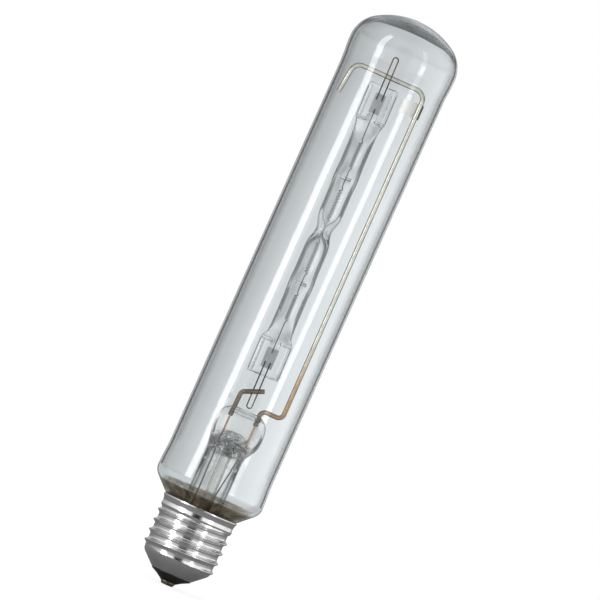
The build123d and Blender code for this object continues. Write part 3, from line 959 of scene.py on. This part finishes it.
# %% [markdown]
# ## Satin aluminium for the cap
# The cap is bare aluminium, a little dull from handling. A grainy finish serves for it and for most small
# pieces: a mottle mixes two colours, and may set the roughness and a bump. Rolling leaves lines round the
# cap, so its roughness follows the drawn lines, stretched sideways.

# %% Cap metal
def grainy(name, metallic, grain, colours, rough, bump_depth=None):
    material, tree, shader, _ = new_material(name)
    share = place_group(tree, mottle, **dict(zip(("Scale", "Detail", "Low", "High"), grain)))
    colour = blend_colours(tree, share, *colours)
    if isinstance(rough, tuple):
        rough = spread_value(tree, share, *rough)
    feed(tree, shader, {"Metallic": metallic, "Base Color": colour, "Roughness": rough})
    if bump_depth:
        add_bump(tree, shader, share, *bump_depth)
    return material, tree, shader, colour


cap_colours = (0.90, 0.90, 0.905), (0.83, 0.83, 0.84)
cap_metal, tree, shader, _ = grainy("Satin aluminium", 1.0, (220.0, 5.0, 0.35, 0.7), cap_colours, 0.2)
lines = place_group(tree, drawn, Across=(120.0, 120.0, 700.0))
feed(tree, shader, {"Roughness": spread_value(tree, lines, 0.13, 0.20)})
dress(cap, cap_metal)
print("cap finish:", cap_metal.name)

# %% [markdown]
# ## Wires with heat tints
# The support wires are bright where they stay cool and golden or brown where they get hot or were welded. A
# height band with a wandering edge mixes the colours. The edge share paints dark edges on the round wire, a
# painted shade that stands in for the dark surroundings a wire mirrors at its sides.

# %% The wire finish
# painted shade: the colour and the slant span of the dark edges painted on every wire
WIRE_PAINTED_EDGE_SHADE, WIRE_PAINTED_EDGE_SPAN = (0.04, 0.03, 0.025), (0.10, 0.48)
LINE_BUMP = 0.15, 0.00003


def wire_metal(name, cool, warm, low, high, rough, foot=None):
    material, tree, shader, _ = new_material(name)
    share = place_group(tree, height, Low=low, High=high, Wander=0.02)
    lines = place_group(tree, drawn, Across=(2600.0, 2600.0, 60.0))
    cloud = place_group(tree, mottle, Scale=900.0, Detail=3.0, Low=0.35, High=0.7)
    colour = blend_colours(tree, share, warm, cool)
    if foot:
        foot_colour, foot_low, foot_high = foot
        above_foot = place_group(tree, height, Low=foot_low, High=foot_high, Wander=0.003)
        colour = blend_colours(tree, above_foot, foot_colour, colour)
    feeds = {"Value": spread_value(tree, cloud, 1.08, 0.8), "Color": colour}
    patchy = from_node(tree, "HueSaturation", feeds)
    # painted shade: the wire's colour goes over to near black at a slant, drawn as dark edges
    with_painted_edges = blend_colours(tree, edge_share(tree, *WIRE_PAINTED_EDGE_SPAN), patchy, WIRE_PAINTED_EDGE_SHADE)
    roughness = spread_value(tree, lines, rough * 0.8, rough * 1.3)
    feed(tree, shader, {"Metallic": 1.0, "Base Color": with_painted_edges, "Roughness": roughness})
    add_bump(tree, shader, lines, *LINE_BUMP)
    return material


tungsten = wire_metal("Tungsten", (0.03, 0.03, 0.031), (0.04, 0.04, 0.04), 0.1, 0.16, 0.35)
dress(filament, tungsten)
print("wire finish:", tungsten.name)

# %% [markdown]
# ## One finish for each kind of wire
# The long wire is pale nickel with a golden lower part and a brown foot. The short wire and the hairpins were
# welded, so they are dark, and the hairpins have a coppery tip at each end. The seal wires show their copper.

# %% Dress the wires
long_foot = (0.20, 0.17, 0.15), 0.063, 0.069
lead_foot = (0.20, 0.14, 0.07), 0.070, 0.076
long_metal = wire_metal(
    "Nickel wire with heat tint", (0.88, 0.84, 0.74), (0.52, 0.31, 0.13), 0.080, 0.112, 0.15, long_foot
)
short_metal = wire_metal("Dark nickel wire", (0.24, 0.18, 0.11), (0.20, 0.16, 0.14), 0.063, 0.071, 0.15)
lead_metal = wire_metal(
    "Dark lead wire", (0.20, 0.125, 0.06), (0.025, 0.02, 0.02), 0.190, 0.196, 0.3, lead_foot
)
copper = wire_metal("Copper-clad wire", (0.74, 0.36, 0.13), (0.50, 0.24, 0.10), 0.060, 0.066, 0.3)
feed_metal = wire_metal("Dark feed wire", (0.10, 0.085, 0.08), (0.16, 0.14, 0.12), 0.045, 0.060, 0.3)
dress(long_wire, long_metal)
dress(short_wire, short_metal)
for loop in (upper_loop, lower_loop):
    dress(loop, lead_metal)
for node, piece in thin_pieces.items():
    dress(piece, copper if "seal" in node else feed_metal)
print("wire finishes:", [m.name for m in bpy.data.materials if "wire" in m.name.lower()])

# %% [markdown]
# ## Foils, getter and cement
# These solids have the right form already, so they keep their meshes and only get a finish: dull rolled foil,
# satin sheet with a burnt edge where it was welded to the long wire, and mottled brown cement.

# %% Finishes for the carried-over solids
BURN_FROM, BURN_TO = 0.0112, 0.0128
foil_colours = (0.47, 0.47, 0.475), (0.57, 0.57, 0.575)
foil = grainy("Rolled foil", 1.0, (1500.0, 3.0, 0.3, 0.7), foil_colours, (0.42, 0.55), (0.1, 0.00004))[0]
for node in ("upper_foil", "lower_foil"):
    dress(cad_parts[node], foil)

sheet_colours = (0.92, 0.91, 0.88), (0.82, 0.81, 0.78)
getter, tree, shader, sheet = grainy("Getter sheet", 1.0, (700.0, 4.0, 0.3, 0.7), sheet_colours, (0.5, 0.6))
across = from_node(tree, "SeparateXYZ", {"Vector": object_place(tree)}, out="X")
burn = smooth_share(tree, across, BURN_FROM, BURN_TO)
feed(tree, shader, {"Base Color": blend_colours(tree, burn, sheet, (0.07, 0.035, 0.02))})
dress(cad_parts["getter_strip"], getter)

cement_colours = (0.16, 0.105, 0.06), (0.42, 0.31, 0.2)
cement = grainy("Basing cement", 0.0, (520.0, 6.0, 0.38, 0.62), cement_colours, 0.8, (0.5, 0.0002))[0]
dress(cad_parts["basing_cement"], cement)
print("carried-over solids dressed:", foil.name, getter.name, cement.name)

# %% [markdown]
# ## Insulator, brass and solder
# The insulator is black glass with a soft shine. The solder is dull and slightly greenish, with a fine grain.
# All three are grainy finishes, so each one needs only its colours, its grain and how rough it is.

# %% Finishes at the tip
black_pair = (0.010, 0.010, 0.011), (0.022, 0.021, 0.021)
brass_pair = (0.50, 0.44, 0.27), (0.34, 0.29, 0.17)
solder_pair = (0.46, 0.44, 0.32), (0.28, 0.26, 0.16)
tip_finishes = [
    (insulator, "Black insulator glass", 0.0, (600.0, 4.0, 0.3, 0.7), black_pair, (0.16, 0.3), (0.12, 8e-5)),
    (contact, "Contact brass", 1.0, (900.0, 4.0, 0.3, 0.7), brass_pair, (0.3, 0.45), None),
    (solder, "Solder", 1.0, (1100.0, 5.0, 0.35, 0.65), solder_pair, (0.32, 0.5), (0.3, 12e-5)),
]
for piece, *finish in tip_finishes:
    dress(piece, grainy(*finish)[0])
print("tip finishes:", [finish[1] for finish in tip_finishes])

# %% [markdown]
# ## The backdrop
# Glass shows only what is round it. Rays that come through it see a paper backdrop, greyer on the left and
# brighter on the right. Floor and sky both need it, so it is a node group: a direction becomes a turn round
# the lamp (0 at the camera, 180 straight behind), and a colour ramp gives each turn its level.

# %% The backdrop as a node group
COOL = (0.945, 0.985, 1.0)


def turn_of(tree, direction):
    parts = add_node(tree, "SeparateXYZ", {"Vector": direction}).outputs
    forward = from_node(tree, "Math", {0: parts["Y"], 1: -1.0}, operation="MULTIPLY")
    return from_node(tree, "Math", {0: parts["X"], 1: forward}, operation="ARCTAN2"), parts["Z"]


def level_ramp(tree, source, reach, stops, tint=(1.0, 1.0, 1.0)):
    shift = from_node(tree, "MapRange", {"Value": source, "From Min": -reach, "From Max": reach})
    ramp = add_node(tree, "ValToRGB", {"Fac": shift})
    while len(ramp.color_ramp.elements) < len(stops):
        ramp.color_ramp.elements.new(0.5)
    for element, (place, level) in zip(ramp.color_ramp.elements, stops):
        element.position = (place / reach + 1) / 2
        element.color = (*(level * share for share in tint), 1.0)
    return ramp.outputs["Color"]


def turn_ramp(tree, turn, stops, tint=(1.0, 1.0, 1.0)):
    return level_ramp(tree, turn, pi, [(radians(angle), level) for angle, level in stops], tint)


backdrop, given, end = new_group("Backdrop", {"Direction": (0.0, 1.0, 0.0)}, "Level", "NodeSocketColor")
paper_stops = [(-180, 0.86), (-178.6, 0.78), (-177.6, 0.68), (-176, 0.58), (-172.5, 0.51), (-169, 0.58)]
paper_stops += [(-160, 0.78), (-120, 0.78), (-85, 0.8), (0, 0.92), (85, 0.88), (120, 0.82), (150, 0.88)]
paper_stops += [(160, 0.94), (170, 0.94), (173, 1.04), (176, 1.06), (180, 0.86)]
turn, _ = turn_of(backdrop, given["Direction"])
feed(backdrop, end, {"Level": turn_ramp(backdrop, turn, paper_stops, COOL)})
print("backdrop group has", len(backdrop.nodes), "nodes")

# %% [markdown]
# ## The floor
# For the camera a glow lifts the floor to white. Metal mirrors it as dull paint, which keeps the underside of
# the cap dark. Through the glass it is paper, which goes over into the backdrop so that no edge shows.

# %% White floor
FLOOR_HALF, FLOOR_DROP = 1.6, 0.0001
NEAR_LEVEL, PAPER_FROM, PAPER_TO = 0.8, 0.45, 1.35
LIFT = {"From Min": 0.06, "From Max": 0.5, "To Min": 0.80, "To Max": 0.90}
bm = bmesh.new()
below = Matrix.Translation((0, 0, -FLOOR_DROP))
bmesh.ops.create_grid(bm, x_segments=1, y_segments=1, size=FLOOR_HALF, matrix=below)
floor = new_object("floor", bm)
floor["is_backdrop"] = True

floor_paint, tree, shader, out = new_material("White floor")
feed(tree, shader, {"Base Color": (0.22, 0.22, 0.22, 1.0), "Roughness": 0.7})
where = object_place(tree)
far = from_node(tree, "VectorMath", {0: where}, out="Value", operation="LENGTH")
path = add_node(tree, "LightPath").outputs
feeds = {0: path["Is Camera Ray"], 1: from_node(tree, "MapRange", {"Value": far, **LIFT})}
glow = from_node(tree, "Emission", {"Strength": from_node(tree, "Math", feeds, operation="MULTIPLY")})
painted = from_node(tree, "AddShader", {0: shader.outputs["BSDF"], 1: glow})
reach = from_node(tree, "MapRange", {"Value": far, "From Min": PAPER_FROM, "From Max": PAPER_TO})
near_paper = tuple(NEAR_LEVEL * share for share in COOL)
far_paper = place_group(tree, backdrop, Direction=where)
through = from_node(tree, "Emission", {"Color": blend_colours(tree, reach, near_paper, far_paper)})
feeds = {"Fac": path["Is Transmission Ray"], 1: painted, 2: through}
feed(tree, out, {"Surface": from_node(tree, "MixShader", feeds)})
dress(floor, floor_paint)
print("floor size:", [round(v, 2) for v in floor.dimensions])

# %% [markdown]
# ## A black flag
# Photographers hang black cloth near clear glass to draw its edges. The dome's glass bends this ring of it
# into a dark band. Only rays through the glass can see the ring.

# %% Black flag round the dome
FLAG_R, FLAG_LOW, FLAG_HIGH = 0.15, 0.2160, 0.2420
bm = bmesh.new()
above = Matrix.Translation((0, 0, FLAG_LOW))
bmesh.ops.create_circle(bm, segments=96, radius=FLAG_R, matrix=above)
made = bmesh.ops.extrude_edge_only(bm, edges=bm.edges[:])["geom"]
fresh = [part for part in made if isinstance(part, bmesh.types.BMVert)]
bmesh.ops.translate(bm, verts=fresh, vec=(0, 0, FLAG_HIGH - FLAG_LOW))
flag = new_object("flag", bm)
flag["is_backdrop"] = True
flag.visible_camera = flag.visible_diffuse = flag.visible_glossy = flag.visible_shadow = False
cloth_colours = (0.012, 0.012, 0.012), (0.03, 0.03, 0.03)
dress(flag, grainy("Black flag cloth", 0.0, (900.0, 2.0, 0.3, 0.7), cloth_colours, 0.9)[0])
print("flag height:", round((FLAG_HIGH - FLAG_LOW) * 1000, 1), "mm")

# %% [markdown]
# ## The sky that metal mirrors
# The background may differ for each kind of ray. This is what the cap and the outside of the bulb mirror:
# bright in front, greyer behind and overhead, and a dark patch round the camera, which makes the dark spots
# down the middle of the cap.

# %% Studio sky for reflections
world = bpy.data.worlds.new("Studio")
bpy.context.scene.world = world
world.use_nodes = True
tree = world.node_tree
sky_way = from_node(tree, "TexCoord", out="Generated")
turn, lift = turn_of(tree, sky_way)


def around_ramp(stops):
    return turn_ramp(tree, turn, stops)


def lift_ramp(stops):
    return level_ramp(tree, lift, 1.0, [(sin(radians(angle)), level) for angle, level in stops])


def lift_window(low, rise, fall, high):
    return lift_ramp([(-90, 0.0), (low, 0.0), (rise, 1.0), (fall, 1.0), (high, 0.0), (90, 0.0)])


def sky_math(operation, first, second):
    label = "Scale" if isinstance(second, float) else 1
    return from_node(tree, "VectorMath", {0: first, label: second}, operation=operation)


round_stops = [(-180, 0.9), (-170, 0.5), (-150, 0.42), (-120, 0.5), (-95, 0.75), (-80, 0.9), (-19, 1.0)]
round_stops += [(19, 1.0), (95, 1.0), (115, 0.8), (125, 0.9), (140, 0.9), (150, 0.4), (165, 0.4), (180, 0.9)]
round_about = around_ramp(round_stops)
above_back = lift_ramp([(-90, 1.0), (20, 1.0), (30, 0.4), (40, 0.06), (90, 0.04)])
above_front = lift_ramp([(-90, 1.0), (48, 1.0), (62, 0.6), (78, 0.1), (90, 0.05)])
in_front = around_ramp([(-180, 0.0), (-125, 0.0), (-100, 1.0), (100, 1.0), (125, 0.0), (180, 0.0)])
above = sky_math("MULTIPLY", sky_math("SUBTRACT", above_front, above_back), in_front)
mirrored = sky_math("MULTIPLY", round_about, sky_math("ADD", above_back, above))
camera_stops = [(-180, 0.0), (-19, 0.0), (-13, 0.97), (0, 0.99), (13, 0.97), (19, 0.0), (180, 0.0)]
camera_patch = sky_math("MULTIPLY", around_ramp(camera_stops), lift_window(-40, -28, 28, 40))
dark_camera = sky_math("MULTIPLY", camera_patch, mirrored)
mirrored = sky_math("SUBTRACT", mirrored, dark_camera)
print("sky nodes for reflections:", len(tree.nodes))

# %% [markdown]
# ## The sky seen through the glass
# Rays that leave through the bulb see the paper. Dark cards at its sides draw outlines on the burner and the
# stem, and bright stripes stand where the glass catches the softboxes. The camera sees plain white.

# %% Studio sky through the glass
STRIPE_GLOW, SOFT_GREY, WHITE = 3.5, (0.6, 0.6, 0.6), (1.0, 1.0, 1.0)
paper_lift = lift_ramp([(-90, 1.0), (0.6, 1.0), (1.7, 0.84), (90, 0.84)])
paper = sky_math("MULTIPLY", place_group(tree, backdrop, Direction=sky_way), paper_lift)
card_stops = [(-180, 0.0), (-160, 0.0), (-157, 0.95), (-128, 0.95), (-124, 0.0)]
card_stops += [(124, 0.0), (128, 0.95), (156, 0.95), (159, 0.0), (180, 0.0)]
cards = sky_math("MULTIPLY", around_ramp(card_stops), lift_window(-6.5, -5, 25, 32))
cards = sky_math("MULTIPLY", cards, paper)
stripe_stops = [(-180, 0.0), (-57.5, 0.0), (-56.5, 1.0), (-46, 1.0), (-45, 0.0)]
stripe_stops += [(40, 0.0), (41, 0.5), (50, 0.5), (51, 0.0), (180, 0.0)]
stripes = sky_math("MULTIPLY", around_ramp(stripe_stops), lift_window(-6.5, -5, 5, 6.5))
stripes = sky_math("SCALE", stripes, STRIPE_GLOW)
shown = sky_math("ADD", sky_math("SUBTRACT", paper, cards), stripes)
path = add_node(tree, "LightPath").outputs
colour = blend_colours(tree, path["Is Glossy Ray"], SOFT_GREY, mirrored)
colour = blend_colours(tree, path["Is Transmission Ray"], colour, shown)
colour = blend_colours(tree, path["Is Camera Ray"], colour, WHITE)
feed(tree, tree.nodes["Background"], {"Color": colour})
print("sky nodes:", len(tree.nodes))

# %% [markdown]
# ## Softboxes
# Two tall softboxes make the white stripes along the tube, a strong one on the left and a weaker one on the
# right. Their power follows from how bright their cloth is to look.

# %% Softboxes
BOX_AWAY = 0.7


def add_softbox(name, turn, width, tall, radiance, centre_z):
    lamp = bpy.data.lights.new(name, "AREA")
    lamp.shape = "RECTANGLE"
    lamp.size, lamp.size_y = width, tall
    lamp.energy = radiance * pi * width * tall
    box = bpy.data.objects.new(name, lamp)
    away = Vector((sin(turn), -cos(turn), 0)) * BOX_AWAY
    box.location = away + Vector((0, 0, centre_z))
    box.rotation_euler = (-away).to_track_quat("-Z", "Y").to_euler()
    box.visible_camera = False
    box.visible_transmission = False
    bpy.context.scene.collection.objects.link(box)
    return box


left_box = add_softbox("left_softbox", radians(-51), width=0.175, tall=1.3, radiance=6.5, centre_z=0.36)
right_box = add_softbox("right_softbox", radians(46), width=0.14, tall=1.2, radiance=2.0, centre_z=0.30)
print("softboxes:", left_box.name, right_box.name)

# %% [markdown]
# ## Camera
# The picture was taken with a long lens, and the lamp leans to the right in it. The camera is level with the
# lamp's middle and is rolled, so the lamp stays upright in its frame. Light crosses many skins of glass, so
# the bounces are raised.

# %% Camera
LEAN = radians(24.15)
LENS, SENSOR, FIELD = 600.0, 36.0, 0.1993
AIM_X, AIM_Z = 0.0018, 0.1045
distance = FIELD / 2 / (SENSOR / 2 / LENS)
camera_data = bpy.data.cameras.new("camera")
camera_data.lens = LENS
camera_data.clip_end = 50.0
camera = bpy.data.objects.new("camera", camera_data)
right = Vector((cos(LEAN), 0, sin(LEAN)))
up = Vector((-sin(LEAN), 0, cos(LEAN)))
back = Vector((0, -1, 0))
roll = Matrix((right, up, back)).transposed().to_4x4()
camera.matrix_world = Matrix.Translation((AIM_X, -distance, AIM_Z)) @ roll
scene = bpy.context.scene
scene.collection.objects.link(camera)
scene.camera = camera
scene.view_settings.view_transform = "Standard"
scene.cycles.max_bounces = 28
scene.cycles.transmission_bounces = 26
scene.cycles.transparent_max_bounces = 24
print("camera distance:", round(distance, 2), "m")

# %% [markdown]
# ## The visual size
# The visual model's size is printed in millimetres, from the box round every shown piece.

# %% Print the visual size
low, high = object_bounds()
print("visual size in mm:", [round((b - a) * 1000, 2) for a, b in zip(low, high)])
